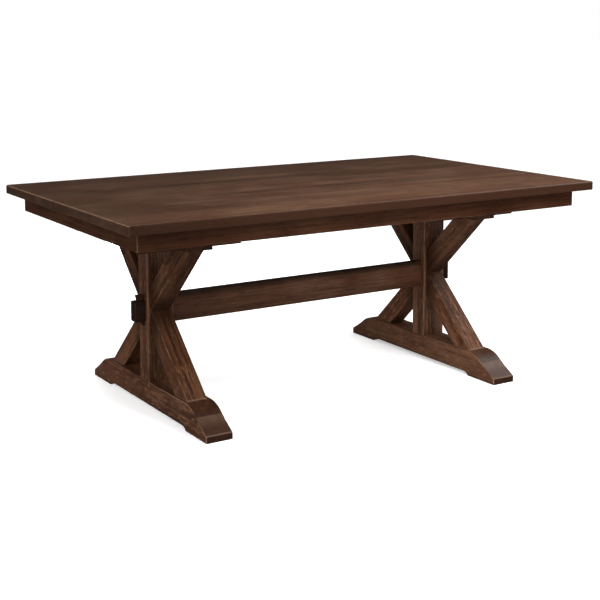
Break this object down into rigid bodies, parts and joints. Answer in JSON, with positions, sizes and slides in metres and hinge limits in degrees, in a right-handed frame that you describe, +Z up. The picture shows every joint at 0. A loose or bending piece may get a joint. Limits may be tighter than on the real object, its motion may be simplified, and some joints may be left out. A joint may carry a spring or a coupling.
{
  "type": "trestle table",
  "caption": "Rectangular plank-top dining table on X-braced trestles with shaped feet, tied by a stretcher whose through tenons are locked by lift-out wooden keys.",
  "frame": {"origin": "on the floor, under the middle of the table top", "axes": "+X along the table's length, +Y across it from the front to the back, +Z up"},
  "size_m": [1.92, 1.146, 0.762],
  "materials": {
    "top_wood": "satin",
    "apron_wood": "satin",
    "trestle_wood": "satin",
    "stretcher_wood": "satin",
    "key_wood": "satin",
    "inner_wood": "raw",
    "screw_steel": "zinc plated"
  },
  "bodies": {
    "table": {"back_apron": "apron_wood", "back_left_corner_block": "inner_wood", "back_right_corner_block": "inner_wood", "block_screws": "screw_steel", "brace_end_dowels": "inner_wood", "brace_post_dowels": "inner_wood", "button_screws": "screw_steel", "front_apron": "apron_wood", "front_left_corner_block": "inner_wood", "front_right_corner_block": "inner_wood", "left_apron": "apron_wood", "left_back_batten": "trestle_wood", "left_cleat": "trestle_wood", "left_foot": "trestle_wood", "left_front_batten": "trestle_wood", "left_lower_back_brace": "trestle_wood", "left_lower_front_brace": "trestle_wood", "left_post": "trestle_wood", "left_upper_back_brace": "trestle_wood", "left_upper_front_brace": "trestle_wood", "right_apron": "apron_wood", "right_back_batten": "trestle_wood", "right_cleat": "trestle_wood", "right_foot": "trestle_wood", "right_front_batten": "trestle_wood", "right_lower_back_brace": "trestle_wood", "right_lower_front_brace": "trestle_wood", "right_post": "trestle_wood", "right_upper_back_brace": "trestle_wood", "right_upper_front_brace": "trestle_wood", "stretcher": "stretcher_wood", "table_buttons": "inner_wood", "top_plank_1": "top_wood", "top_plank_2": "top_wood", "top_plank_3": "top_wood", "top_plank_4": "top_wood", "top_plank_5": "top_wood", "top_plank_6": "top_wood", "top_plank_7": "top_wood", "top_screws": "screw_steel"},
    "left_key": {"left_key": "key_wood"},
    "right_key": {"right_key": "key_wood"}
  },
  "joints": [
    {"name": "left_key_lift", "type": "slide", "parent": "table", "child": "left_key", "axis": [0, 0, 1], "range_m": [0, 0.12]},
    {"name": "right_key_lift", "type": "slide", "parent": "table", "child": "right_key", "axis": [0, 0, 1], "range_m": [0, 0.12]}
  ]
}
